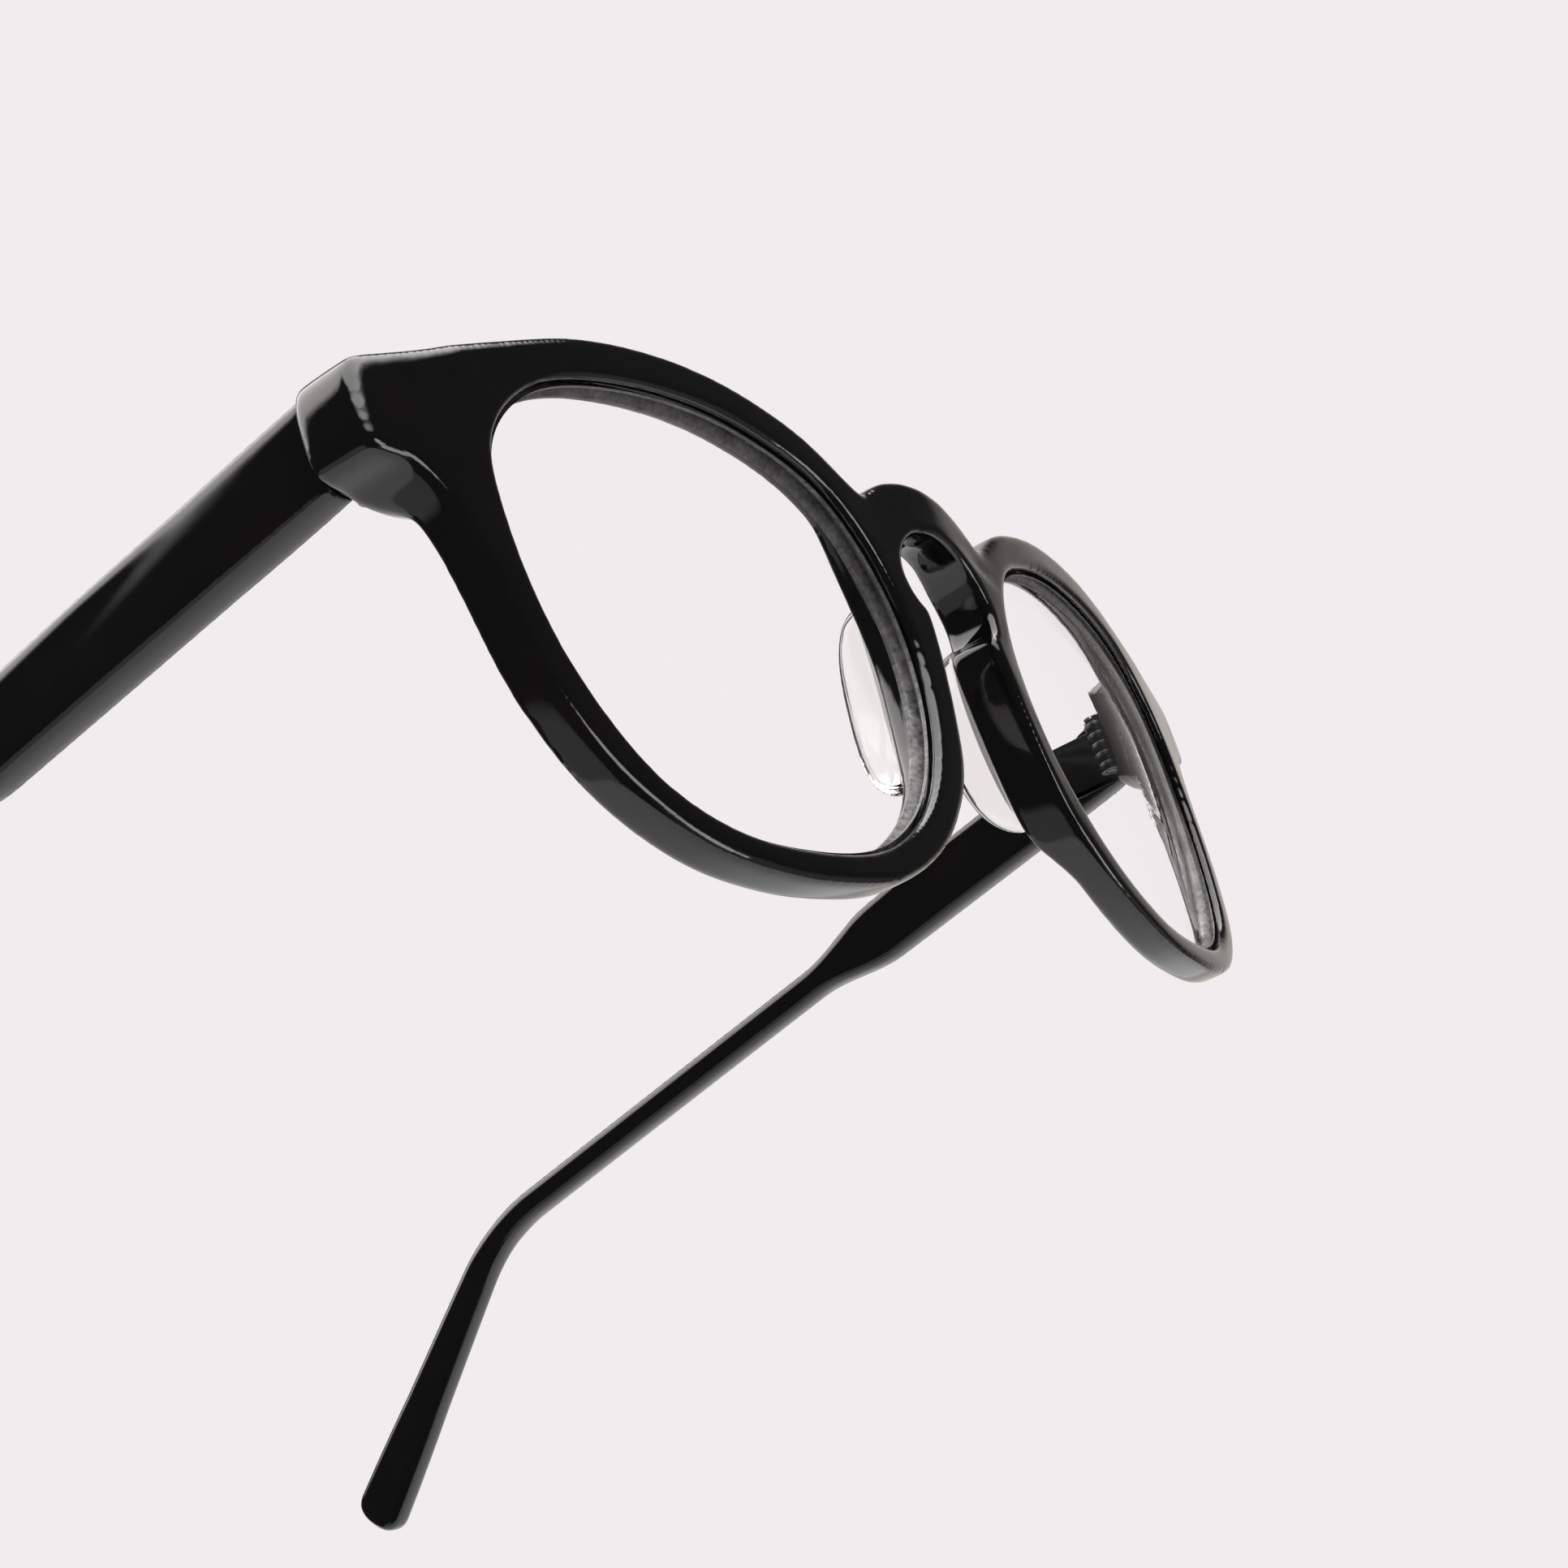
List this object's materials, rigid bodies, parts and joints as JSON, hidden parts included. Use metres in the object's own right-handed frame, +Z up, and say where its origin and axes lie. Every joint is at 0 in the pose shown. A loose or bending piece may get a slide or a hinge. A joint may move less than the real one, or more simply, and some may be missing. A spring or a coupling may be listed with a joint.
{
  "type": "reading glasses",
  "caption": "Glossy black acetate reading glasses: rounded lens openings, a keyhole bridge, clear lenses and nose pads, and folding temples with bent tips.",
  "frame": {"origin": "middle of the footprint on the surface that the pair stands on, open, on its rim bottoms and temple tips", "axes": "+Y from the front towards the temple tips, +X towards the wearer's left, +Z up"},
  "size_m": [0.1424, 0.1454, 0.0435],
  "materials": {
    "black_acetate": "polished black",
    "lens_resin": "clear and uncoated",
    "crystal_acetate": "clear and polished",
    "hinge_steel": "satin nickel",
    "core_wire_steel": "drawn wire"
  },
  "bodies": {
    "front": {"front_frame": "black_acetate", "right_lens": "lens_resin", "right_nose_pad": "crystal_acetate", "right_front_hinge_leaf": "hinge_steel", "right_hinge_screw": "hinge_steel", "left_lens": "lens_resin", "left_nose_pad": "crystal_acetate", "left_front_hinge_leaf": "hinge_steel", "left_hinge_screw": "hinge_steel"},
    "right_temple": {"right_temple": "black_acetate", "right_temple_hinge_leaf": "hinge_steel", "right_core_wire": "core_wire_steel"},
    "left_temple": {"left_temple": "black_acetate", "left_temple_hinge_leaf": "hinge_steel", "left_core_wire": "core_wire_steel"}
  },
  "joints": [
    {"name": "right_temple_fold", "type": "hinge", "parent": "front", "child": "right_temple", "pos_m": [-0.0611, -0.05846, 0.03322], "axis": [0, 0.1135, -0.9935], "range_deg": [0, 86]},
    {"name": "left_temple_fold", "type": "hinge", "parent": "front", "child": "left_temple", "pos_m": [0.0611, -0.05846, 0.03322], "axis": [0, -0.1135, 0.9935], "range_deg": [0, 92]}
  ]
}
